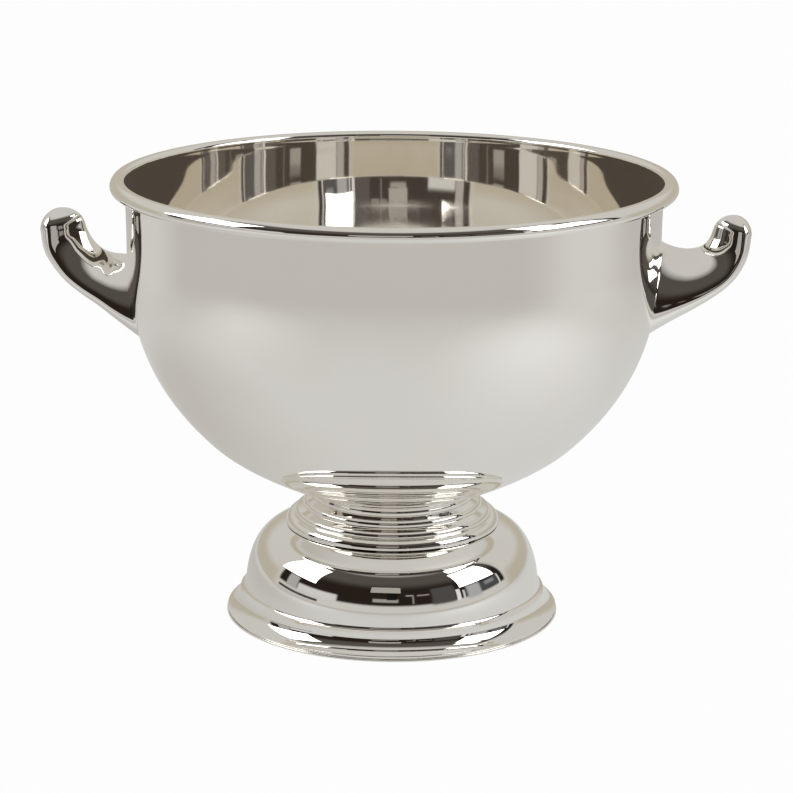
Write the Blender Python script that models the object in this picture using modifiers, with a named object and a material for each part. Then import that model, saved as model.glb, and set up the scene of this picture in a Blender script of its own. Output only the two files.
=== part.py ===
"""A silver-plated champagne bucket with two horn handles, on a reeded neck and a domed foot.

Metres, +Z up. The axis of the bowl is the Z axis, the foot stands on z = 0, and the handles
point along +X and -X. Every turned piece is a profile in the XZ plane with a Screw modifier.
"""

import math

import bmesh
import bpy
from mathutils import Matrix, Vector
from mathutils.geometry import interpolate_bezier

MM = 0.001

# Driving dimensions
HEIGHT = 240.0 * MM
RIM_RADIUS = 150.0 * MM
WALL_RADIUS = 141.6 * MM
FOOT_RADIUS = 90.3 * MM
SHEET = 1.2 * MM
GAP = 0.3 * MM
TURN_STEPS = 40

# Rim: the lip is rolled over a wire
BEAD_RADIUS = 3.5 * MM
BEAD_CENTRE_R = RIM_RADIUS - BEAD_RADIUS
BEAD_CENTRE_Z = HEIGHT - BEAD_RADIUS
ROLL_INSIDE = BEAD_RADIUS - SHEET
WIRE_RADIUS = ROLL_INSIDE - GAP
ROLL_INNER_ANGLE = -120
ROLL_OUTER_ANGLE = 165
LIP_LEAN = math.radians(75)

# Bowl: straight wall, a round turn to the knee, then a shallow underside
LIP_Z = 231.0 * MM
LIP_HANDLE_UP = 2.0 * MM
LIP_HANDLE_DOWN = 2.0 * MM
WALL_FOOT_Z = 200.0 * MM
KNEE_R = 99.9 * MM
KNEE_Z = 99.3 * MM
KNEE_ANGLE = math.radians(43.4)
BOWL_BOTTOM_Z = 58.4 * MM
WALL_HANDLE = 41.7 * MM
KNEE_HANDLE_UP = 41.3 * MM
KNEE_HANDLE_DOWN = 28.9 * MM
BOTTOM_HANDLE = 24.0 * MM

# Neck: four reeds stepping out from the bowl to the foot
NECK_BORE = 37.0 * MM
REED_FIRST = Vector((41.8, 66.1)) * MM
REED_STEP = Vector((4.5, -5.1)) * MM
REED_COUNT = 3
REED_RADIUS = 2.4 * MM
SHOULDER_REED = Vector((54.1, 51.0)) * MM
SHOULDER_REED_RADIUS = 3.9 * MM
NECK_BASE_R = 48.0 * MM
NECK_LEDGE = 4.0 * MM
NECK_BORE_HEIGHT = 12.0 * MM
REED_TOP_ANGLE = 80
REED_BOTTOM_ANGLE = -30
FIRST_REED_ANGLE = 50

# Foot: flat top, domed wall, small step, hollow-curved flange and standing ring
FOOT_TOP_Z = 49.5 * MM
DOME_START_R = 57.5 * MM
DOME_START_HANDLE = Vector((15.4, -3.2)) * MM
DOME_BASE = Vector((80.0, 15.6)) * MM
DOME_BASE_HANDLE = Vector((-1.6, 18.8)) * MM
FILLET_START_HANDLE = Vector((0.2, -1.8)) * MM
STEP_EDGE = Vector((82.8, 12.6)) * MM
STEP_EDGE_HANDLE = Vector((-1.0, 0.6)) * MM
STEP_FOOT = Vector((82.8, 11.2)) * MM
STEP_FOOT_HANDLE = Vector((0.2, -4.5)) * MM
FLANGE_EDGE = Vector((89.9, 2.6)) * MM
FLANGE_EDGE_HANDLE = Vector((-2.7, 0.7)) * MM
RING_HEIGHT = 1.1 * MM
RING_WIDTH = 5.0 * MM
RING_ROUNDING = 0.4 * MM

# Fixings inside the foot
STUD_RADIUS = 4.0 * MM
STUD_CHAMFER = 0.8 * MM
BOSS_RADIUS = 14.0 * MM
BOSS_THICKNESS = 2.5 * MM
STUD_END_Z = 33.0 * MM
PLATE_RADIUS = 36.0 * MM
PLATE_THICKNESS = 2.0 * MM
WASHER_RADIUS = 8.0 * MM
WASHER_THICKNESS = 1.6 * MM
NUT_ACROSS_FLATS = 13.0 * MM
NUT_HEIGHT = 6.5 * MM

# Handles: centre line in the XZ plane, from inside the wall to the tip
HANDLE_START = Vector((134.0, 173.5)) * MM
HANDLE_CURVE_1 = Vector((153.0, 180.0)) * MM
HANDLE_CURVE_2 = Vector((176.0, 190.0)) * MM
HANDLE_TIP = Vector((178.0, 209.3)) * MM
HANDLE_TIP_RADIUS = 11.6 * MM
HANDLE_ROOT_HEIGHT = 21.0 * MM
HANDLE_ROOT_WIDTH = 26.0 * MM
HANDLE_FLARE_POWER = 4.5
HANDLE_WIDTH_POWER = 1.8
HANDLE_STATIONS = 10
HANDLE_CAP_STATIONS = 4
HANDLE_SIDES = 20


def clear_scene():
    for obj in list(bpy.data.objects):
        bpy.data.objects.remove(obj, do_unlink=True)


def new_collection(name):
    collection = bpy.data.collections.new(name)
    bpy.context.scene.collection.children.link(collection)
    return collection


def material(name, colour, roughness, metallic=1.0):
    made = bpy.data.materials.new(name)
    made.use_nodes = True
    shader = made.node_tree.nodes["Principled BSDF"]
    shader.inputs["Base Color"].default_value = (*colour, 1.0)
    shader.inputs["Metallic"].default_value = metallic
    shader.inputs["Roughness"].default_value = roughness
    return made


def silver(name):
    return material(name + "_silver", (0.93, 0.91, 0.87), 0.06)


def brass(name):
    return material(name + "_brass", (0.72, 0.55, 0.28), 0.3)


def steel(name):
    return material(name + "_steel", (0.55, 0.55, 0.56), 0.35)


def finish(obj, collection, surface, smooth_angle=None):
    """Moves the object to the collection, gives it its material and shades it."""
    for other in list(obj.users_collection):
        other.objects.unlink(obj)
    collection.objects.link(obj)
    obj.data.materials.clear()
    obj.data.materials.append(surface)
    if smooth_angle is not None:
        obj.data.shade_smooth()
        obj.data.set_sharp_from_angle(angle=smooth_angle)
    return obj


def arc(centre, radius, start, end, segments):
    """Points of an arc, with its angles in degrees."""
    points = []
    for i in range(segments + 1):
        angle = math.radians(start + (end - start) * i / segments)
        points.append(Vector(centre) + radius * Vector((math.cos(angle), math.sin(angle))))
    return points


def bezier(knot_1, handle_1, handle_2, knot_2, segments):
    return interpolate_bezier(knot_1, handle_1, handle_2, knot_2, segments + 1)


def turned(name, profile, collection, surface, thickness=None, smooth_angle=math.radians(50)):
    """A turned piece. The profile runs down the outer side, and a closed profile has no thickness."""
    mesh = bpy.data.meshes.new(name)
    edit = bmesh.new()
    corners = [edit.verts.new((point[0], 0.0, point[1])) for point in profile]
    for first, second in zip(corners, corners[1:]):
        edit.edges.new((first, second))
    if thickness is None:
        edit.edges.new((corners[-1], corners[0]))
    edit.to_mesh(mesh)
    edit.free()
    obj = bpy.data.objects.new(name, mesh)
    bpy.context.scene.collection.objects.link(obj)
    screw = obj.modifiers.new("turn", "SCREW")
    screw.axis = "Z"
    screw.steps = TURN_STEPS
    screw.render_steps = TURN_STEPS
    screw.use_merge_vertices = True
    screw.merge_threshold = 0.00001
    screw.use_smooth_shade = True
    if thickness is not None:
        wall = obj.modifiers.new("wall", "SOLIDIFY")
        wall.thickness = thickness
        wall.offset = -1.0
        wall.use_even_offset = True
        wall.use_quality_normals = True
    return finish(obj, collection, surface, smooth_angle)


def bowl_underside():
    """The outer side of the bowl, from the foot of the straight wall to the axis."""
    slope = Vector((math.cos(KNEE_ANGLE), math.sin(KNEE_ANGLE)))
    knee = Vector((KNEE_R, KNEE_Z))
    wall_foot = Vector((WALL_RADIUS, WALL_FOOT_Z))
    bottom = Vector((0.0, BOWL_BOTTOM_Z))
    turn = bezier(
        wall_foot,
        wall_foot - Vector((0.0, WALL_HANDLE)),
        knee + slope * KNEE_HANDLE_UP,
        knee,
        12,
    )
    floor = bezier(
        knee,
        knee - slope * KNEE_HANDLE_DOWN,
        bottom + Vector((BOTTOM_HANDLE, 0.0)),
        bottom,
        9,
    )
    return turn + floor[1:]


def bowl_height_at(radius):
    """The height of the outer side of the bowl's floor at this radius."""
    floor = bowl_underside()
    for outer, inner in zip(floor, floor[1:]):
        if inner.x <= radius <= outer.x:
            share = (radius - inner.x) / (outer.x - inner.x)
            return inner.y + share * (outer.y - inner.y)
    return floor[-1].y


def make_bowl(collection):
    bead = Vector((BEAD_CENTRE_R, BEAD_CENTRE_Z))
    roll = arc(bead, ROLL_INSIDE, ROLL_INNER_ANGLE, ROLL_OUTER_ANGLE, 12)
    lip = Vector((WALL_RADIUS, LIP_Z))
    lean = Vector((math.cos(LIP_LEAN), math.sin(LIP_LEAN)))
    flare = bezier(
        roll[-1],
        roll[-1] - lean * LIP_HANDLE_DOWN,
        lip + Vector((0.0, LIP_HANDLE_UP)),
        lip,
        4,
    )
    profile = roll + flare[1:] + bowl_underside()
    return turned("bowl_shell", profile, collection, silver("bowl"), SHEET)


def make_rim_wire(collection):
    bpy.ops.mesh.primitive_torus_add(
        major_radius=BEAD_CENTRE_R,
        minor_radius=WIRE_RADIUS,
        major_segments=TURN_STEPS,
        minor_segments=8,
        location=(0.0, 0.0, BEAD_CENTRE_Z),
    )
    wire = bpy.context.object
    wire.name = "rim_wire"
    return finish(wire, collection, steel("rim_wire"), math.radians(80))


def make_neck(collection):
    seat = Vector((NECK_BORE, bowl_height_at(NECK_BORE) - 2 * GAP))
    profile = [seat] + arc(REED_FIRST, REED_RADIUS, FIRST_REED_ANGLE, REED_BOTTOM_ANGLE, 3)
    for i in range(1, REED_COUNT):
        centre = REED_FIRST + i * REED_STEP
        profile += arc(centre, REED_RADIUS, REED_TOP_ANGLE, REED_BOTTOM_ANGLE, 4)
    base = FOOT_TOP_Z + GAP
    lowest = math.degrees(math.asin((base - SHOULDER_REED.y) / SHOULDER_REED_RADIUS))
    profile += arc(SHOULDER_REED, SHOULDER_REED_RADIUS, REED_TOP_ANGLE, lowest, 5)
    profile.append(Vector((NECK_BASE_R, base)))
    profile.append(Vector((NECK_BASE_R, base + NECK_LEDGE)))
    profile.append(Vector((NECK_BORE, base + NECK_BORE_HEIGHT)))
    return turned("neck_collar", profile, collection, silver("neck"))


def make_foot(collection):
    hole = Vector((STUD_RADIUS + GAP, FOOT_TOP_Z))
    dome_start = Vector((DOME_START_R, FOOT_TOP_Z))
    dome = bezier(
        dome_start,
        dome_start + DOME_START_HANDLE,
        DOME_BASE + DOME_BASE_HANDLE,
        DOME_BASE,
        12,
    )
    fillet = bezier(
        DOME_BASE,
        DOME_BASE + FILLET_START_HANDLE,
        STEP_EDGE + STEP_EDGE_HANDLE,
        STEP_EDGE,
        3,
    )
    flange = bezier(
        STEP_FOOT,
        STEP_FOOT + STEP_FOOT_HANDLE,
        FLANGE_EDGE + FLANGE_EDGE_HANDLE,
        FLANGE_EDGE,
        6,
    )
    profile = [hole, dome_start] + dome[1:] + fillet[1:] + flange
    return turned("foot_dome", profile, collection, silver("foot"), SHEET)


def make_foot_ring(collection):
    edge = FOOT_RADIUS - RING_ROUNDING
    inner = FOOT_RADIUS - RING_WIDTH
    profile = arc((edge, RING_HEIGHT - RING_ROUNDING), RING_ROUNDING, 90, 0, 2)
    profile += arc((edge, RING_ROUNDING), RING_ROUNDING, 0, -90, 2)
    profile += [Vector((inner, 0.0)), Vector((inner, RING_HEIGHT))]
    return turned("foot_ring", profile, collection, silver("foot_ring"))


def make_fixings(collection):
    """The stud and what it carries, from the bowl down."""
    boss_top = BOWL_BOTTOM_Z - GAP
    boss_bottom = boss_top - BOSS_THICKNESS
    boss = [(0.0, boss_top), (BOSS_RADIUS, boss_top), (BOSS_RADIUS, boss_bottom), (0.0, boss_bottom)]
    turned("stud_boss", boss, collection, brass("stud_boss"), None, math.radians(30))
    stud_top = boss_bottom - GAP
    stud = [
        (0.0, stud_top),
        (STUD_RADIUS, stud_top),
        (STUD_RADIUS, STUD_END_Z + STUD_CHAMFER),
        (STUD_RADIUS - STUD_CHAMFER, STUD_END_Z),
        (0.0, STUD_END_Z),
    ]
    turned("tie_stud", stud, collection, brass("tie_stud"), None, math.radians(30))
    bore = STUD_RADIUS + GAP
    plate_top = FOOT_TOP_Z - SHEET - GAP
    washer_top = plate_top - PLATE_THICKNESS - GAP
    nut_top = washer_top - WASHER_THICKNESS - GAP
    for name, radius, top, thickness in (
        ("clamp_plate", PLATE_RADIUS, plate_top, PLATE_THICKNESS),
        ("spring_washer", WASHER_RADIUS, washer_top, WASHER_THICKNESS),
    ):
        ring = [(radius, top), (radius, top - thickness), (bore, top - thickness), (bore, top)]
        turned(name, ring, collection, steel(name), None, math.radians(30))
    make_nut(collection, nut_top, bore)


def make_nut(collection, top, bore):
    edit = bmesh.new()
    corner_radius = NUT_ACROSS_FLATS / 2 / math.cos(math.radians(30))
    bmesh.ops.create_cone(
        edit,
        cap_ends=True,
        segments=6,
        radius1=corner_radius,
        radius2=corner_radius,
        depth=NUT_HEIGHT,
    )
    mesh = bpy.data.meshes.new("hex_nut")
    edit.to_mesh(mesh)
    edit.free()
    nut = bpy.data.objects.new("hex_nut", mesh)
    nut.location.z = top - NUT_HEIGHT / 2
    bpy.context.scene.collection.objects.link(nut)
    bpy.ops.mesh.primitive_cylinder_add(
        vertices=TURN_STEPS, radius=bore, depth=2 * NUT_HEIGHT, location=nut.location
    )
    drill = bpy.context.object
    drill.name = "nut_drill"
    hide_cutter(drill)
    cut = nut.modifiers.new("bore", "BOOLEAN")
    cut.operation = "DIFFERENCE"
    cut.solver = "EXACT"
    cut.object = drill
    finish(nut, collection, steel("hex_nut"))


def hide_cutter(cutter):
    for other in list(cutter.users_collection):
        other.objects.unlink(cutter)
    bpy.data.collections["cutters"].objects.link(cutter)
    cutter.hide_render = True
    cutter.display_type = "WIRE"


def make_wall_cutter():
    """The outside of the bowl as a solid, one gap larger, to trim the handle roots."""
    wall = [point + Vector((GAP, 0.0)) for point in bowl_underside() if point.x > KNEE_R]
    profile = [Vector((0.0, LIP_Z)), Vector((WALL_RADIUS + GAP, LIP_Z))]
    profile += wall
    profile.append(Vector((0.0, wall[-1].y)))
    cutter = turned("wall_cutter", profile, bpy.data.collections["cutters"], silver("cutter"))
    hide_cutter(cutter)
    return cutter


def handle_rings(side):
    """Centre, direction and half sizes of each section of a handle, from the root to the tip."""
    line = bezier(HANDLE_START, HANDLE_CURVE_1, HANDLE_CURVE_2, HANDLE_TIP, HANDLE_STATIONS - 1)
    rings = []
    for i, centre in enumerate(line):
        before = line[max(i - 1, 0)]
        after = line[min(i + 1, len(line) - 1)]
        to_root = 1 - i / (HANDLE_STATIONS - 1)
        flare = to_root**HANDLE_FLARE_POWER
        height = HANDLE_TIP_RADIUS + (HANDLE_ROOT_HEIGHT - HANDLE_TIP_RADIUS) * flare
        spread = to_root**HANDLE_WIDTH_POWER
        width = HANDLE_TIP_RADIUS + (HANDLE_ROOT_WIDTH - HANDLE_TIP_RADIUS) * spread
        rings.append((centre, (after - before).normalized(), height, width))
    tip, direction, _, _ = rings[-1]
    for i in range(1, HANDLE_CAP_STATIONS):
        angle = math.radians(90 * i / HANDLE_CAP_STATIONS)
        radius = HANDLE_TIP_RADIUS * math.cos(angle)
        rings.append((tip + direction * HANDLE_TIP_RADIUS * math.sin(angle), direction, radius, radius))
    return [
        (Vector((side * centre.x, 0.0, centre.y)), Vector((side * along.x, 0.0, along.y)), height, width)
        for centre, along, height, width in rings
    ]


def make_handle(name, side, collection, cutter):
    edit = bmesh.new()
    rings = handle_rings(side)
    loops = []
    for centre, along, height, width in rings:
        across = along.cross(Vector((0.0, 1.0, 0.0)))
        turn = Matrix((across * height, Vector((0.0, width, 0.0)), along)).transposed()
        place = Matrix.Translation(centre) @ turn.to_4x4()
        made = bmesh.ops.create_circle(edit, segments=HANDLE_SIDES, radius=1.0, matrix=place)
        loops.append(made["verts"])
    for first, second in zip(loops, loops[1:]):
        for i in range(HANDLE_SIDES):
            j = (i + 1) % HANDLE_SIDES
            edit.faces.new((first[i], first[j], second[j], second[i]))
    edit.faces.new(loops[0])
    tip, along, _, _ = rings[HANDLE_STATIONS - 1]
    peak = edit.verts.new(tip + along * HANDLE_TIP_RADIUS)
    for i in range(HANDLE_SIDES):
        edit.faces.new((loops[-1][i], loops[-1][(i + 1) % HANDLE_SIDES], peak))
    bmesh.ops.recalc_face_normals(edit, faces=edit.faces)
    mesh = bpy.data.meshes.new(name)
    edit.to_mesh(mesh)
    edit.free()
    handle = bpy.data.objects.new(name, mesh)
    bpy.context.scene.collection.objects.link(handle)
    cut = handle.modifiers.new("trim to the wall", "BOOLEAN")
    cut.operation = "DIFFERENCE"
    cut.solver = "EXACT"
    cut.object = cutter
    return finish(handle, collection, silver(name), math.radians(60))


def main():
    clear_scene()
    bucket = new_collection("champagne_bucket")
    new_collection("cutters")
    make_bowl(bucket)
    make_rim_wire(bucket)
    make_neck(bucket)
    make_foot(bucket)
    make_foot_ring(bucket)
    make_fixings(bucket)
    cutter = make_wall_cutter()
    make_handle("handle_right", 1, bucket, cutter)
    make_handle("handle_left", -1, bucket, cutter)


main()
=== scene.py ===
"""A polished silver champagne bucket on a pale table, in front of a dark room with two softboxes."""

import math

import bmesh
import bpy
import numpy as np
from mathutils import Matrix, Vector
from mathutils.geometry import interpolate_bezier


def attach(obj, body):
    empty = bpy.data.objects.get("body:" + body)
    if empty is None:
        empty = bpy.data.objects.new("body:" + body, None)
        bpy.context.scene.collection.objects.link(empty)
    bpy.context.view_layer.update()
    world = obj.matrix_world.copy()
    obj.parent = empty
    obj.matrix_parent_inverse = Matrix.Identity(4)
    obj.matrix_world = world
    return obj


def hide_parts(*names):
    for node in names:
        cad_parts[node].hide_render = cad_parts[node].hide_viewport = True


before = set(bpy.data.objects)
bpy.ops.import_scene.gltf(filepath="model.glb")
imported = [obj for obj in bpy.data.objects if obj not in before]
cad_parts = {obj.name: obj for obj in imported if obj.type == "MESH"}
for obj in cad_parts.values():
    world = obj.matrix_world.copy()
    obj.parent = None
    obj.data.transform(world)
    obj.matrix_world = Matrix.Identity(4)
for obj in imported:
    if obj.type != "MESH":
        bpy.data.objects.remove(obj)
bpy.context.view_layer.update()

MM = 0.001
TURN_STEPS = 256
AXIS_RADIUS = 1e-6


# ---------------------------------------------------------------- profiles, in millimetres


def arc(centre, radius, start, end, segments):
    """Points of an arc, with its angles in degrees."""
    points = []
    for i in range(segments + 1):
        angle = math.radians(start + (end - start) * i / segments)
        points.append(Vector(centre) + radius * Vector((math.cos(angle), math.sin(angle))))
    return points


def bezier(knot_1, handle_1, handle_2, knot_2, segments):
    return interpolate_bezier(
        Vector(knot_1), Vector(handle_1), Vector(handle_2), Vector(knot_2), segments + 1
    )


def straight(start, end, segments):
    start = Vector(start)
    end = Vector(end)
    return [start.lerp(end, i / segments) for i in range(segments + 1)]


def joined(*runs):
    """One line from several that meet end to start."""
    line = list(runs[0])
    for run in runs[1:]:
        skip = 1 if (run[0] - line[-1]).length < 1e-4 else 0
        line += list(run)[skip:]
    return line


def offset(line, distance):
    """The line moved sideways, to the right of its direction."""
    moved = []
    for i, point in enumerate(line):
        before = line[max(i - 1, 0)]
        after = line[min(i + 1, len(line) - 1)]
        along = (after - before).normalized()
        moved.append(point + Vector((along.y, -along.x)) * distance)
    return moved


# ---------------------------------------------------------------- meshes


def piece_from(edit, name, surface, sharp_angle=math.radians(40)):
    mesh = bpy.data.meshes.new(name)
    edit.to_mesh(mesh)
    edit.free()
    mesh.shade_smooth()
    mesh.set_sharp_from_angle(angle=sharp_angle)
    mesh.materials.append(surface)
    piece = bpy.data.objects.new(name, mesh)
    bpy.context.scene.collection.objects.link(piece)
    return piece


def turned(name, loop, surface, steps=TURN_STEPS):
    """A solid of revolution round the Z axis from a closed loop of (radius, height) in millimetres."""
    edit = bmesh.new()
    rings = []
    for point in loop:
        if point.x < AXIS_RADIUS:
            rings.append([edit.verts.new((0.0, 0.0, point.y * MM))])
            continue
        ring = []
        for j in range(steps):
            angle = 2 * math.pi * j / steps
            ring.append(
                edit.verts.new(
                    (point.x * MM * math.cos(angle), point.x * MM * math.sin(angle), point.y * MM)
                )
            )
        rings.append(ring)
    for first, second in zip(rings, rings[1:] + rings[:1]):
        if len(first) == 1 and len(second) == 1:
            continue
        for j in range(steps):
            k = (j + 1) % steps
            corners = []
            for corner in (
                first[j % len(first)],
                first[k % len(first)],
                second[k % len(second)],
                second[j % len(second)],
            ):
                if corner not in corners:
                    corners.append(corner)
            edit.faces.new(corners)
    bmesh.ops.recalc_face_normals(edit, faces=edit.faces)
    return piece_from(edit, name, surface)


def place(piece, node):
    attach(piece, "root")
    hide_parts(node)
    return piece


# ---------------------------------------------------------------- materials


def nodes_of(material):
    material.use_nodes = True
    tree = material.node_tree
    return tree, tree.nodes["Principled BSDF"]


def metal(name, clean, film, film_share, wave_scale, wave_height, scratch_scale, scratch_height, gloss):
    """A worn metal: a thin film in patches, slow waves left by the hammer or lathe, and fine scratches.

    Scales are per metre and heights in metres. gloss is the lowest and highest roughness.
    """
    material = bpy.data.materials.new(name)
    tree, shader = nodes_of(material)
    shader.inputs["Metallic"].default_value = 1.0

    def made(kind, **inputs):
        node = tree.nodes.new(kind)
        for key, value in inputs.items():
            node.inputs[key.replace("_", " ")].default_value = value
        return node

    def link(source, target):
        tree.links.new(source, target)

    def noise_at(scale, detail, roughness):
        mapping = made("ShaderNodeMapping", Scale=scale)
        link(coordinates.outputs["Object"], mapping.inputs["Vector"])
        texture = made("ShaderNodeTexNoise", Scale=1.0, Detail=detail, Roughness=roughness)
        link(mapping.outputs["Vector"], texture.inputs["Vector"])
        return texture.outputs["Fac"]

    def ranged(value, low, high, to_low, to_high):
        node = made("ShaderNodeMapRange", From_Min=low, From_Max=high, To_Min=to_low, To_Max=to_high)
        link(value, node.inputs["Value"])
        return node.outputs["Result"]

    def bumped(height, distance, normal=None):
        node = made("ShaderNodeBump", Strength=1.0, Distance=distance)
        link(height, node.inputs["Height"])
        if normal:
            link(normal, node.inputs["Normal"])
        return node.outputs["Normal"]

    coordinates = tree.nodes.new("ShaderNodeTexCoord")
    patches = noise_at((28.0, 28.0, 28.0), 4.0, 0.6)
    waves = noise_at(wave_scale, 1.0, 0.4)
    scratches = noise_at(scratch_scale, 3.0, 0.65)
    colour = tree.nodes.new("ShaderNodeMix")
    colour.data_type = "RGBA"
    link(ranged(patches, 0.42, 0.75, 0.0, film_share), colour.inputs["Factor"])
    colour.inputs[6].default_value = (*clean, 1.0)
    colour.inputs[7].default_value = (*film, 1.0)
    link(colour.outputs[2], shader.inputs["Base Color"])
    worn = tree.nodes.new("ShaderNodeMath")
    worn.operation = "MULTIPLY"
    link(patches, worn.inputs[0])
    link(scratches, worn.inputs[1])
    link(ranged(worn.outputs[0], 0.12, 0.42, *gloss), shader.inputs["Roughness"])
    slow = bumped(waves, wave_height)
    link(bumped(scratches, scratch_height, slow), shader.inputs["Normal"])
    return material


POLISHED = (0.935, 0.92, 0.89)
TARNISH = (0.80, 0.74, 0.64)
STEEL = (0.62, 0.62, 0.61)
BRASS = (0.80, 0.63, 0.36)


# Painted light: the bowl's silver, also used on the rim wire and stud boss, glows faintly everywhere in
# this colour. Inside the bowl a ray is dropped after its last bounce, and this glow stands for the light
# it would find
PAINTED_GLOW = (1.0, 0.84, 0.68, 1.0)
PAINTED_GLOW_STRENGTH = 0.013


def finishes():
    """Every finish, by slot name."""
    made = {
        "silver_bowl": metal(
            "silver_bowl", POLISHED, TARNISH, 0.10,
            (26, 26, 5), 6e-5, (2200, 2200, 160), 3e-7, (0.012, 0.05),
        ),
        "silver_handle": metal(
            "silver_handle", POLISHED, TARNISH, 0.25,
            (60, 60, 60), 6e-5, (1500, 1500, 1500), 4e-7, (0.015, 0.06),
        ),
        "silver_neck": metal(
            "silver_neck", POLISHED, TARNISH, 0.35,
            (40, 40, 40), 4e-5, (300, 300, 2600), 4e-7, (0.015, 0.06),
        ),
        "silver_foot": metal(
            "silver_foot", POLISHED, TARNISH, 0.15,
            (30, 30, 30), 3e-5, (300, 300, 2600), 3e-7, (0.012, 0.05),
        ),
        "silver_ring": metal(
            "silver_ring", POLISHED, TARNISH, 0.45,
            (60, 60, 60), 4e-5, (900, 900, 900), 9e-7, (0.06, 0.16),
        ),
        "steel": metal(
            "steel", STEEL, (0.42, 0.38, 0.33), 0.5,
            (200, 200, 200), 4e-5, (700, 700, 3500), 2.5e-6, (0.22, 0.42),
        ),
        "brass": metal(
            "brass", BRASS, (0.50, 0.34, 0.17), 0.6,
            (160, 160, 160), 4e-5, (500, 500, 3000), 2.0e-6, (0.18, 0.40),
        ),
    }
    # The bowl's finish glows faintly with painted light, though it is no lamp
    shader = nodes_of(made["silver_bowl"])[1]
    shader.inputs["Emission Color"].default_value = PAINTED_GLOW
    shader.inputs["Emission Strength"].default_value = PAINTED_GLOW_STRENGTH
    return made


# ---------------------------------------------------------------- bowl

SHEET = 1.6
SHEET_AT_RIM = 0.9
UNDER_RIM_Z = 233.4
RIM_Z = 240.0
RIM_RADIUS = 150.0
BEAD = 3.5
BEAD_CENTRE = Vector((RIM_RADIUS - BEAD, RIM_Z - BEAD))
# The rolled rim's section runs from its free edge to its top, in degrees
BEAD_ANGLES = (-118, 90)
BEAD_SEGMENTS = 40
# The face of the bead, in degrees above the level, is this much flatter than the rest
BEAD_FACE = (8.0, 46.0)
BEAD_FLATNESS = 1.9
WALL_RADIUS = 141.6
WALL_TOP_Z = 237.0
WALL_FOOT_Z = 200.0
KNEE = Vector((99.9, 99.3))
KNEE_ANGLE = math.radians(43.4)
BOWL_BOTTOM_Z = 58.4
# How far each curve handle reaches: down from the wall, up and down from the knee, out from the axis
WALL_REACH = 41.7
KNEE_REACH_UP = 41.3
KNEE_REACH_DOWN = 28.9
BOTTOM_REACH = 24.0
WALL_SEGMENTS = 37
SHOULDER_SEGMENTS = 44
BOTTOM_SEGMENTS = 40


def bowl_outside():
    slope = Vector((math.cos(KNEE_ANGLE), math.sin(KNEE_ANGLE)))
    wall_foot = Vector((WALL_RADIUS, WALL_FOOT_Z))
    bottom = Vector((0.0, BOWL_BOTTOM_Z))
    return joined(
        straight((WALL_RADIUS, WALL_TOP_Z), wall_foot, WALL_SEGMENTS),
        bezier(
            wall_foot,
            wall_foot - Vector((0, WALL_REACH)),
            KNEE + slope * KNEE_REACH_UP,
            KNEE,
            SHOULDER_SEGMENTS,
        ),
        bezier(
            KNEE,
            KNEE - slope * KNEE_REACH_DOWN,
            bottom + Vector((BOTTOM_REACH, 0)),
            bottom,
            BOTTOM_SEGMENTS,
        ),
    )


TURN_RADIUS = 2.6
TURN_ANGLES = (88, 178)
TURN_SEGMENTS = 16
# How far the inside stands out from an even thickness: height and distance.
# A search for where the photo's reflections change gave these values, and they were then rounded.
INSIDE_OUT = (
    (58.0, 0.0),
    (75.0, 0.0),
    (95.0, -1.5),
    (115.0, -0.2),
    (135.0, -0.2),
    (155.0, 0.0),
    (175.0, -0.1),
    (195.0, 0.2),
    (212.0, 0.85),
    (226.0, 1.5),
    (236.0, 1.8),
    (240.0, 2.0),
)
OUTSIDE_FLARE = 0.7
FLARE_START_Z = 203.0
# The outside wall stops this far short of the underside of the rim
WALL_GAP = 0.5
# The bottom of the bowl is even out to this radius, and the bends above start over as far again
CENTRE_REACH = 38.0


def smooth_curve(knots):
    """A natural cubic through the knots, as a function of height."""
    at = np.array([knot[0] for knot in knots])
    value = np.array([knot[1] for knot in knots])
    gap = np.diff(at)
    slope = np.diff(value) / gap
    count = len(knots)
    system = np.eye(count)
    bend = np.zeros(count)
    for i in range(1, count - 1):
        system[i, i - 1 : i + 2] = gap[i - 1], 2 * (gap[i - 1] + gap[i]), gap[i]
        bend[i] = 6 * (slope[i] - slope[i - 1])
    bend = np.linalg.solve(system, bend)

    def curve(height):
        height = min(max(height, at[0]), at[-1])
        i = min(int(np.searchsorted(at, height, side="right")) - 1, count - 2)
        left = at[i + 1] - height
        right = height - at[i]
        cubic = (bend[i] * left**3 + bend[i + 1] * right**3) / (6 * gap[i])
        return float(
            cubic
            + (value[i] / gap[i] - bend[i] * gap[i] / 6) * left
            + (value[i + 1] / gap[i] - bend[i + 1] * gap[i] / 6) * right
        )

    return curve


def rim_roll():
    """The roll's section from its free edge to its top, with a flatter face and a round one's height."""
    line = arc(BEAD_CENTRE, BEAD, *BEAD_ANGLES, BEAD_SEGMENTS)
    point = line[0].copy()
    roll = [point.copy()]
    for first, second in zip(line, line[1:]):
        step = second - first
        tilt = math.degrees(math.atan2(-step.x, step.y))
        point += step * (BEAD_FLATNESS if BEAD_FACE[0] < tilt < BEAD_FACE[1] else 1.0)
        roll.append(point.copy())
    scale = (line[-1].y - min(p.y for p in line)) / (roll[-1].y - min(p.y for p in roll))
    roll = [p * scale for p in roll]
    shift = Vector((RIM_RADIUS - max(p.x for p in roll), RIM_Z - roll[-1].y))
    return [p + shift for p in roll]


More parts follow.
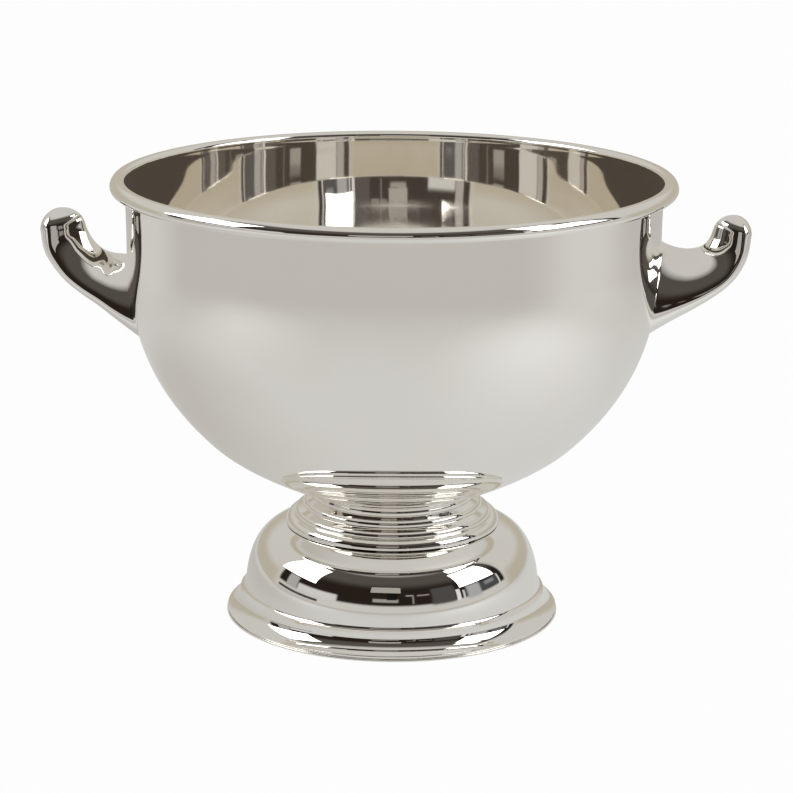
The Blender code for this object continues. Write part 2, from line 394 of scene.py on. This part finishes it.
def make_bowl(surface):
    """The sheet, from the roll's free edge over the rim and down inside, then back up outside."""
    stands_out = smooth_curve(INSIDE_OUT)
    outside = bowl_outside()
    even = offset(outside, SHEET)
    even[-1] = Vector((0.0, outside[-1].y + SHEET))
    inside = []
    for point in even:
        share = min(max(point.x / CENTRE_REACH - 1.0, 0.0), 1.0)
        fade = share * share * (3 - 2 * share)
        inside.append(Vector((point.x + stands_out(point.y) * fade, point.y)))
    top = inside[0]
    centre = Vector((top.x + TURN_RADIUS, RIM_Z - TURN_RADIUS))
    roll = rim_roll()
    turn = arc(centre, TURN_RADIUS, *TURN_ANGLES, TURN_SEGMENTS)
    upper = joined(roll, turn)
    under = [point for point in offset(upper, -SHEET_AT_RIM) if point.y > UNDER_RIM_Z]
    flared = []
    for point in outside:
        share = min(max((point.y - FLARE_START_Z) / (WALL_TOP_Z - FLARE_START_Z), 0.0), 1.0)
        flared.append(Vector((point.x + OUTSIDE_FLARE * share * share, point.y)))
    wall = [point for point in flared if point.y < UNDER_RIM_Z - WALL_GAP]
    loop = upper + inside + wall[::-1] + under[::-1]
    return turned("bowl", loop, surface)


# ---------------------------------------------------------------- neck

NECK_BORE = 37.0
NECK_BORE_TOP_Z = 70.5
NECK_BORE_FOOT_Z = 62.0
NECK_FLANGE_RADIUS = 48.0
NECK_FLANGE_TOP_Z = 54.0
REEDS = (
    (Vector((41.8, 66.1)), 2.4),
    (Vector((46.3, 61.0)), 2.4),
    (Vector((50.8, 55.9)), 2.4),
    (Vector((54.1, 51.0)), 3.9),
)
NECK_BASE_Z = 49.8
# Where each reed's arc starts and ends, in degrees: the first starts lower, and the last ends at the base
FIRST_REED_START = 60
REED_START = 80
REED_END = -30
REED_SEGMENTS = 16
# The face of a reed, in degrees above the level, is this much flatter than the rest of it
REED_FACE = (4.0, 42.0)
REED_FLATNESS = 2.4


def flattened(line, face, flatness):
    """The same bend with its face stretched, brought back to the same two ends."""
    steps = []
    for first, second in zip(line, line[1:]):
        step = second - first
        tilt = math.degrees(math.atan2(step.x, -step.y))
        steps.append(step * (flatness if face[0] < tilt < face[1] else 1.0))
    total = sum(steps, Vector((0.0, 0.0)))
    whole = line[-1] - line[0]
    point = line[0].copy()
    result = [point.copy()]
    for step in steps:
        point += Vector((step.x * whole.x / total.x, step.y * whole.y / total.y))
        result.append(point.copy())
    return result


def make_neck(surface):
    runs = [[Vector((NECK_BORE, NECK_BORE_TOP_Z))]]
    for i, (centre, radius) in enumerate(REEDS):
        first = REED_START if i else FIRST_REED_START
        last = REED_END
        if i == len(REEDS) - 1:
            last = math.degrees(math.asin((NECK_BASE_Z - centre.y) / radius))
        reed = arc(centre, radius, first, last, REED_SEGMENTS)
        runs.append(flattened(reed, REED_FACE, REED_FLATNESS))
    runs.append(
        [
            Vector((NECK_FLANGE_RADIUS, NECK_BASE_Z)),
            Vector((NECK_FLANGE_RADIUS, NECK_FLANGE_TOP_Z)),
            Vector((NECK_BORE, NECK_BORE_FOOT_Z)),
        ]
    )
    return turned("neck_reeds", joined(*runs), surface)


# ---------------------------------------------------------------- foot

FOOT_SHEET = 1.2
FOOT_TOP_Z = 49.5
FOOT_BORE = 4.3
DOME_START = Vector((57.5, FOOT_TOP_Z))
DOME_BASE = Vector((80.0, 15.6))
STEP_EDGE = Vector((82.8, 12.6))
STEP_FOOT = Vector((82.8, 11.2))
FLANGE_EDGE = Vector((89.9, 2.6))
DOME_START_HANDLE = Vector((15.4, -3.2))
DOME_BASE_HANDLE = Vector((-1.6, 18.8))
FILLET_START_HANDLE = Vector((0.2, -1.8))
STEP_EDGE_HANDLE = Vector((-1.0, 0.6))
STEP_FOOT_HANDLE = Vector((0.2, -4.5))
FLANGE_EDGE_HANDLE = Vector((-2.7, 0.7))
FOOT_TOP_SEGMENTS = 6
DOME_SEGMENTS = 60
FILLET_SEGMENTS = 12
FLANGE_SEGMENTS = 30


def make_foot(surface):
    line = joined(
        straight((FOOT_BORE, FOOT_TOP_Z), DOME_START, FOOT_TOP_SEGMENTS),
        bezier(
            DOME_START,
            DOME_START + DOME_START_HANDLE,
            DOME_BASE + DOME_BASE_HANDLE,
            DOME_BASE,
            DOME_SEGMENTS,
        ),
        bezier(
            DOME_BASE,
            DOME_BASE + FILLET_START_HANDLE,
            STEP_EDGE + STEP_EDGE_HANDLE,
            STEP_EDGE,
            FILLET_SEGMENTS,
        ),
        bezier(
            STEP_FOOT,
            STEP_FOOT + STEP_FOOT_HANDLE,
            FLANGE_EDGE + FLANGE_EDGE_HANDLE,
            FLANGE_EDGE,
            FLANGE_SEGMENTS,
        ),
    )
    inside = offset(line, FOOT_SHEET)
    return turned("foot", line + inside[::-1], surface)


RING_RADIUS = 90.3
RING_WIDTH = 5.0
RING_HEIGHT = 1.1
RING_EDGE = 0.4
RING_EDGE_SEGMENTS = 4


def make_ring(surface):
    centre = RING_RADIUS - RING_EDGE
    bore = RING_RADIUS - RING_WIDTH
    loop = arc((centre, RING_HEIGHT - RING_EDGE), RING_EDGE, 90, 0, RING_EDGE_SEGMENTS)
    loop += arc((centre, RING_EDGE), RING_EDGE, 0, -90, RING_EDGE_SEGMENTS)
    loop += [Vector((bore, 0.0)), Vector((bore, RING_HEIGHT))]
    return turned("standing_ring", loop, surface)


# ---------------------------------------------------------------- handles

# Across each horn, seen from the front: outer edge, inner edge, half width, and how far in it is widest.
# The edges were measured on the photo through the camera below. The widths were chosen.
LEFT_HORN = (
    (126.0, 146.0, 128.0, 196.6, 29.5, 0.27),
    (133.5, 151.5, 136.5, 195.7, 28.0, 0.25),
    (140.4, 156.8, 143.4, 195.2, 26.3, 0.23),
    (148.0, 162.5, 148.9, 195.5, 24.4, 0.22),
    (156.5, 168.9, 152.6, 196.3, 22.4, 0.21),
    (166.0, 175.0, 156.3, 198.0, 20.2, 0.2),
    (175.0, 181.7, 159.6, 200.9, 17.9, 0.2),
    (182.0, 189.4, 162.2, 204.3, 15.5, 0.21),
    (187.0, 197.7, 164.2, 208.5, 13.1, 0.23),
    (189.0, 208.2, 165.5, 212.6, 10.8, 0.28),
)
RIGHT_HORN = (
    (124.0, 151.0, 128.0, 212.0, 29.5, 0.27),
    (132.0, 156.0, 136.0, 209.5, 28.0, 0.25),
    (140.0, 161.3, 142.4, 206.4, 26.3, 0.23),
    (148.5, 166.5, 147.6, 204.3, 24.4, 0.22),
    (157.5, 171.5, 152.6, 203.2, 22.2, 0.21),
    (167.0, 177.2, 157.2, 203.1, 19.9, 0.2),
    (176.5, 184.0, 161.4, 204.0, 17.4, 0.2),
    (183.0, 191.3, 164.8, 206.0, 14.9, 0.21),
    (187.3, 200.6, 167.2, 209.4, 12.4, 0.23),
    (189.0, 211.5, 168.8, 213.9, 10.0, 0.28),
)
HANDLE_SIDES = 64
ROWS_PER_SECTION = 8
ROOT_ROWS = 8
TIP_ROWS = 14
CAP_LEAN = math.radians(8.0)
# 2 is round, and less is nearer to a straight slope from the ridge to the inner edge
INNER_POWER = 1.5
# 2 is round here too, and the outside is fuller where the widest place is near the outer edge
OUTER_POWER = 2.0
OUTER_ROUNDING = 1.4
# The root stops this far under the bowl's skin
ROOT_DEPTH = 0.3


def spline(rows, t):
    """A Catmull-Rom curve through the rows, with t from 0 to the last row's index."""
    i = min(int(t), len(rows) - 2)
    f = t - i
    p0 = rows[i - 1] if i else [2 * a - b for a, b in zip(rows[0], rows[1])]
    p1 = rows[i]
    p2 = rows[i + 1]
    p3 = rows[i + 2] if i + 2 < len(rows) else [2 * a - b for a, b in zip(rows[-1], rows[-2])]
    return [
        0.5 * (2 * b + (c - a) * f + (2 * a - 5 * b + 4 * c - d) * f * f + (3 * b - a - 3 * c + d) * f**3)
        for a, b, c, d in zip(p0, p1, p2, p3)
    ]


def wall_radius(height, profile):
    """The outside radius of the bowl's wall at this height."""
    for upper, lower in zip(profile, profile[1:]):
        if lower.y <= height <= upper.y:
            share = (height - lower.y) / max(upper.y - lower.y, 1e-9)
            return lower.x + (upper.x - lower.x) * share
    return profile[0].x


def kept_outside(point, profile):
    """The point, moved out to just under the bowl's skin if it is inside the bowl."""
    reach = math.hypot(point.x, point.y)
    least = wall_radius(point.z, profile) - ROOT_DEPTH
    if reach >= least or reach == 0:
        return point
    return Vector((point.x * least / reach, point.y * least / reach, point.z))


def section(start, end, wide, widest, along, cap):
    """One closed ring across the horn: flat outside, domed inside, and round at the tip."""
    bulge = OUTER_POWER + (0.5 - widest) * OUTER_ROUNDING
    points = []
    for j in range(HANDLE_SIDES):
        angle = 2 * math.pi * j / HANDLE_SIDES
        c = math.cos(angle)
        power = 2 / (INNER_POWER if c > 0 else bulge)
        reach = abs(c) ** power * (1 - widest if c > 0 else widest)
        share = widest + (reach if c > 0 else -reach)
        out = math.copysign(abs(math.sin(angle)) ** power, math.sin(angle)) * wide
        middle = (start + end) / 2
        point = start.lerp(end, share)
        shrunk = math.cos(cap) / math.cos(CAP_LEAN)
        point = middle + (point - middle) * shrunk + Vector((0.0, out * shrunk, 0.0))
        rise = (math.sin(cap) - math.sin(CAP_LEAN)) / math.cos(CAP_LEAN)
        points.append(point + along * wide * rise)
    return points


def make_handle(name, side, sections, surface):
    profile = bowl_outside()
    count = (len(sections) - 1) * ROWS_PER_SECTION
    made = []
    along = Vector((0.0, 0.0, 1.0))
    for i in range(count + 1):
        x1, z1, x2, z2, wide, widest = spline(sections, i / ROWS_PER_SECTION)
        ends = (Vector((x1, 0.0, z1)), Vector((x2, 0.0, z2)))
        if i == 0:
            for k in range(1, ROOT_ROWS):
                middle = (ends[0] + ends[1]) / 2
                small = [middle.lerp(end, k / ROOT_ROWS) for end in ends]
                made.append(section(*small, wide * k / ROOT_ROWS, widest, along, CAP_LEAN))
        made.append(section(ends[0], ends[1], wide, widest, along, CAP_LEAN))
    across = (ends[1] - ends[0]).normalized()
    along = Vector((across.z, 0.0, -across.x))
    for i in range(1, TIP_ROWS):
        cap = CAP_LEAN + (math.pi / 2 - CAP_LEAN) * i / TIP_ROWS
        made.append(section(ends[0], ends[1], wide, widest, along, cap))
    rise = (1 - math.sin(CAP_LEAN)) / math.cos(CAP_LEAN)
    tip = (ends[0] + ends[1]) / 2 + along * wide * rise
    root = (Vector((sections[0][0], 0, sections[0][1])) + Vector((sections[0][2], 0, sections[0][3]))) / 2
    edit = bmesh.new()

    def corner(point):
        point = kept_outside(point, profile)
        return edit.verts.new((side * point.x * MM, point.y * MM, point.z * MM))

    rings = [[corner(point) for point in ring] for ring in made]
    for first, second in zip(rings, rings[1:]):
        for j in range(HANDLE_SIDES):
            k = (j + 1) % HANDLE_SIDES
            edit.faces.new((first[j], first[k], second[k], second[j]))
    for ring, end in ((rings[0], root), (rings[-1], tip)):
        peak = corner(end)
        for j in range(HANDLE_SIDES):
            edit.faces.new((ring[j], ring[(j + 1) % HANDLE_SIDES], peak))
    bmesh.ops.recalc_face_normals(edit, faces=edit.faces)
    return piece_from(edit, name, surface)


# ---------------------------------------------------------------- studio

AZIMUTH = math.radians(3.0)
CAMERA_DISTANCE = 1.459
CAMERA_HEIGHT = 0.49862
# Radians: how far the camera looks down, and how far it leans over
CAMERA_PITCH = 0.25452
CAMERA_ROLL = 0.005973
SENSOR = 36.0
LENS = 126.876
LENS_SHIFT = 0.004357


def make_camera():
    data = bpy.data.cameras.new("camera")
    data.sensor_width = SENSOR
    data.lens = LENS
    data.shift_x = LENS_SHIFT
    camera = bpy.data.objects.new("camera", data)
    camera.location = (
        CAMERA_DISTANCE * math.sin(AZIMUTH),
        -CAMERA_DISTANCE * math.cos(AZIMUTH),
        CAMERA_HEIGHT,
    )
    turn = (
        Matrix.Rotation(AZIMUTH, 4, "Z")
        @ Matrix.Rotation(math.pi / 2 - CAMERA_PITCH, 4, "X")
        @ Matrix.Rotation(CAMERA_ROLL, 4, "Z")
    )
    camera.rotation_euler = turn.to_euler()
    bpy.context.scene.collection.objects.link(camera)
    bpy.context.scene.camera = camera


make_camera()
FINISH = finishes()
place(make_bowl(FINISH["silver_bowl"]), "bowl_shell")
place(make_neck(FINISH["silver_neck"]), "neck_collar")
place(make_foot(FINISH["silver_foot"]), "foot_dome")
place(make_ring(FINISH["silver_ring"]), "foot_ring")
place(make_handle("horn_right", 1, RIGHT_HORN, FINISH["silver_handle"]), "handle_right")
place(make_handle("horn_left", -1, LEFT_HORN, FINISH["silver_handle"]), "handle_left")

KEPT_NODES = {
    "rim_wire": "silver_bowl",
    "stud_boss": "silver_bowl",
    "tie_stud": "steel",
    "clamp_plate": "steel",
    "spring_washer": "steel",
    "hex_nut": "brass",
}
for node_name, slot_name in KEPT_NODES.items():
    for material_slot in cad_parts[node_name].material_slots:
        material_slot.material = FINISH[slot_name]


# ---------------------------------------------------------------- light

# What surrounds the bucket: left, right, bottom and top in degrees, blur, colour.
# Bearings run from the camera's side, positive to its right.
PALE = (0.60, 0.585, 0.555)
SOFTBOX = (3.2, 3.15, 3.05)
# The camera itself sees this plain white behind the table, and reflections see what is listed below
SEEN_WALL = (1.0, 1.0, 1.0, 1.0)
SURROUNDINGS = (
    # low beige walls behind the bucket
    (104, 184, -10, 14, 6.0, (0.49, 0.45, 0.37)),
    (-184, -104, -10, 14, 6.0, (0.49, 0.45, 0.37)),
    # the dark room in front and its ceiling
    (-101, 101, 6, 54, 1.5, (0.020, 0.014, 0.011)),
    (-101, 101, 33, 58, 7.0, (0.085, 0.075, 0.066)),
    # the top of the right softbox, then what stands under the left one
    (62, 90, 49, 54, 1.0, SOFTBOX),
    (-92, -81, 5, 20, 1.0, (0.42, 0.40, 0.39)),
    (-80, -44, 5, 13, 1.5, (0.62, 0.62, 0.61)),
    (-100, -60, 1, 3, 0.8, (0.02, 0.02, 0.02)),
    # a reflector card, a desk and shelves
    (-15, 5, 10, 14, 1.0, (0.33, 0.32, 0.30)),
    (-4, 4, 13, 23, 0.7, (0.010, 0.008, 0.007)),
    (11, 17, 17.5, 19.5, 0.5, (0.30, 0.29, 0.28)),
    (16, 17.5, 8, 19, 0.4, (0.22, 0.21, 0.20)),
    (20, 30, 17, 19, 0.5, (0.26, 0.24, 0.23)),
    (32, 52, 5, 26, 2.0, (0.075, 0.070, 0.068)),
    (52.5, 56, 5, 18, 0.5, (0.75, 0.75, 0.75)),
    (58, 60, 5, 15, 0.5, (0.55, 0.55, 0.56)),
    (62, 75, 4, 19, 2.0, (0.40, 0.40, 0.41)),
    (76, 95, 7, 18, 1.5, (0.07, 0.07, 0.075)),
    (80, 90, 12, 16, 1.5, (0.25, 0.25, 0.26)),
    (94.5, 96, 5, 18, 0.5, (0.7, 0.7, 0.7)),
)


def make_world():
    world = bpy.data.worlds.new("studio")
    bpy.context.scene.world = world
    world.use_nodes = True
    tree = world.node_tree
    tree.nodes.clear()

    def node(kind, **settings):
        made = tree.nodes.new(kind)
        for key, value in settings.items():
            setattr(made, key, value)
        return made

    def put(value, socket):
        if isinstance(value, bpy.types.NodeSocket):
            tree.links.new(value, socket)
        else:
            socket.default_value = value

    def maths(operation, *values):
        made = node("ShaderNodeMath", operation=operation)
        for value, socket in zip(values, made.inputs):
            put(value, socket)
        return made.outputs[0]

    def edge(value, at, blur, rising):
        """0 to 1 where the value passes this edge."""
        made = node("ShaderNodeMapRange", interpolation_type="SMOOTHSTEP")
        put(value, made.inputs["Value"])
        made.inputs["From Min"].default_value = at - blur if rising else at + blur
        made.inputs["From Max"].default_value = at + blur if rising else at - blur
        return made.outputs["Result"]

    def mixed(share, first, second):
        made = node("ShaderNodeMix", data_type="RGBA")
        put(share, made.inputs["Factor"])
        put(first, made.inputs[6])
        put(second, made.inputs[7])
        return made.outputs[2]

    coordinates = node("ShaderNodeTexCoord")
    turn = node("ShaderNodeMapping", vector_type="NORMAL")
    turn.inputs["Rotation"].default_value = (0.0, 0.0, -AZIMUTH)
    tree.links.new(coordinates.outputs["Generated"], turn.inputs["Vector"])
    split = node("ShaderNodeSeparateXYZ")
    tree.links.new(turn.outputs["Vector"], split.inputs[0])
    toward = maths("MULTIPLY", split.outputs["Y"], -1.0)
    bearing = maths("DEGREES", maths("ARCTAN2", split.outputs["X"], toward))
    height = maths("DEGREES", maths("ARCSINE", split.outputs["Z"]))
    colour = (*PALE, 1.0)
    for left, right, low, high, blur, tint in SURROUNDINGS:
        across = maths("MULTIPLY", edge(bearing, left, blur, True), edge(bearing, right, blur, False))
        up = maths("MULTIPLY", edge(height, low, blur, True), edge(height, high, blur, False))
        colour = mixed(maths("MULTIPLY", across, up), colour, (*tint, 1.0))
    path = node("ShaderNodeLightPath")
    colour = mixed(path.outputs["Is Camera Ray"], colour, SEEN_WALL)
    background = node("ShaderNodeBackground")
    put(colour, background.inputs["Color"])
    output = node("ShaderNodeOutputWorld")
    tree.links.new(background.outputs[0], output.inputs[0])


FLOOR_HALF = 4.0
FLOOR_END = (0.500, 0.470, 0.410, 1.0)
FLOOR_NEAR = (0.635, 0.632, 0.615, 1.0)
FLOOR_FAR = (0.500, 0.480, 0.450, 1.0)
# Soft pools of painted light on the table, each over those before, lighter near the bucket and dimmer far
# off, with one dimmer patch behind it: centre, inner and outer radius, colour, share
POOLS = (
    ((0.0, 0.0, 0.0), 1.3, 3.5, FLOOR_FAR, 1.0),
    ((0.0, 0.0, 0.0), 0.2, 1.3, FLOOR_NEAR, 1.0),
    ((-0.24, 0.10, 0.0), 0.05, 0.34, FLOOR_FAR, 0.8),
    ((0.95, -0.05, 0.0), 0.10, 0.60, (0.690, 0.680, 0.660, 1.0), 0.7),
    ((-0.95, 0.50, 0.0), 0.10, 0.55, (0.690, 0.685, 0.650, 1.0), 0.6),
    ((0.42, -0.24, 0.0), 0.0, 0.42, (0.95, 0.95, 0.94, 1.0), 0.5),
    ((-0.55, -0.35, 0.0), 0.0, 0.40, (0.90, 0.90, 0.88, 1.0), 0.35),
)
# The camera itself sees the table as this plain white. The colours above are what the silver reflects.
SEEN_TABLE = (0.985, 0.985, 0.985, 1.0)


# Cards round the bucket: bearing and half width in degrees, distance, lowest and highest degrees, light
CARDS = (
    (77.0, 18.0, 2.2, 20.0, 46.0, SOFTBOX),
    (-82.0, 20.0, 3.6, 21.0, 50.0, SOFTBOX),
    (-2.0, 12.0, 1.3, 22.0, 31.0, (0.40, 0.38, 0.35)),
)
# The degrees above are seen from this height, where the foot reflects the cards
SEEN_FROM = 0.03


def make_cards():
    """The two softboxes, and the paler card at the camera."""
    for i, (bearing, spread, distance, low, high, light) in enumerate(CARDS):
        turn = math.radians(bearing)
        away = Vector((math.sin(turn), -math.cos(turn), 0.0))
        aside = Vector((math.cos(turn), math.sin(turn), 0.0)) * math.tan(math.radians(spread))
        heights = [SEEN_FROM + distance * math.tan(math.radians(degrees)) for degrees in (low, high)]
        corners = [
            (away + aside * side) * distance + Vector((0.0, 0.0, heights[level]))
            for side, level in ((-1, 0), (1, 0), (1, 1), (-1, 1))
        ]
        name = f"card_{i + 1}"
        mesh = bpy.data.meshes.new(name)
        mesh.from_pydata(corners, [], [(0, 1, 2, 3)])
        material = bpy.data.materials.new(name)
        shader = nodes_of(material)[1]
        shader.inputs["Base Color"].default_value = (0.0, 0.0, 0.0, 1.0)
        shader.inputs["Specular IOR Level"].default_value = 0.0
        shader.inputs["Emission Color"].default_value = (*[channel / max(light) for channel in light], 1.0)
        shader.inputs["Emission Strength"].default_value = max(light)
        mesh.materials.append(material)
        card = bpy.data.objects.new(name, mesh)
        bpy.context.scene.collection.objects.link(card)


def make_floor():
    """A table that glows: plain white to the camera, and in reflections painted with pools of light,
    lighter near the bucket and dimmer far off.
    """
    mesh = bpy.data.meshes.new("floor")
    half = FLOOR_HALF
    corners = [(-half, -half, 0.0), (half, -half, 0.0), (half, half, 0.0), (-half, half, 0.0)]
    mesh.from_pydata(corners, [], [(0, 1, 2, 3)])
    material = bpy.data.materials.new("floor")
    tree, shader = nodes_of(material)
    shader.inputs["Base Color"].default_value = (0.0, 0.0, 0.0, 1.0)
    shader.inputs["Roughness"].default_value = 0.7
    shader.inputs["Specular IOR Level"].default_value = 0.0
    shader.inputs["Emission Strength"].default_value = 1.0
    coordinates = tree.nodes.new("ShaderNodeTexCoord")

    def glow(centre, inner, outer, tint, share, below):
        """A soft painted pool on the table over the colour below, most of them pools of light."""
        away = tree.nodes.new("ShaderNodeVectorMath")
        away.operation = "DISTANCE"
        away.inputs[1].default_value = centre
        tree.links.new(coordinates.outputs["Object"], away.inputs[0])
        fade = tree.nodes.new("ShaderNodeMapRange")
        fade.interpolation_type = "SMOOTHSTEP"
        tree.links.new(away.outputs["Value"], fade.inputs["Value"])
        fade.inputs["From Min"].default_value = inner
        fade.inputs["From Max"].default_value = outer
        fade.inputs["To Min"].default_value = share
        fade.inputs["To Max"].default_value = 0.0
        mix = tree.nodes.new("ShaderNodeMix")
        mix.data_type = "RGBA"
        tree.links.new(fade.outputs["Result"], mix.inputs["Factor"])
        if isinstance(below, tuple):
            mix.inputs[6].default_value = below
        else:
            tree.links.new(below, mix.inputs[6])
        mix.inputs[7].default_value = tint
        return mix.outputs[2]

    colour = FLOOR_END
    for pool in POOLS:
        colour = glow(*pool, colour)
    path = tree.nodes.new("ShaderNodeLightPath")
    seen = tree.nodes.new("ShaderNodeMix")
    seen.data_type = "RGBA"
    tree.links.new(path.outputs["Is Camera Ray"], seen.inputs["Factor"])
    tree.links.new(colour, seen.inputs[6])
    seen.inputs[7].default_value = SEEN_TABLE
    tree.links.new(seen.outputs[2], shader.inputs["Emission Color"])
    mesh.materials.append(material)
    floor = bpy.data.objects.new("floor", mesh)
    bpy.context.scene.collection.objects.link(floor)


make_world()
make_floor()
make_cards()
bpy.context.scene.view_settings.view_transform = "Standard"
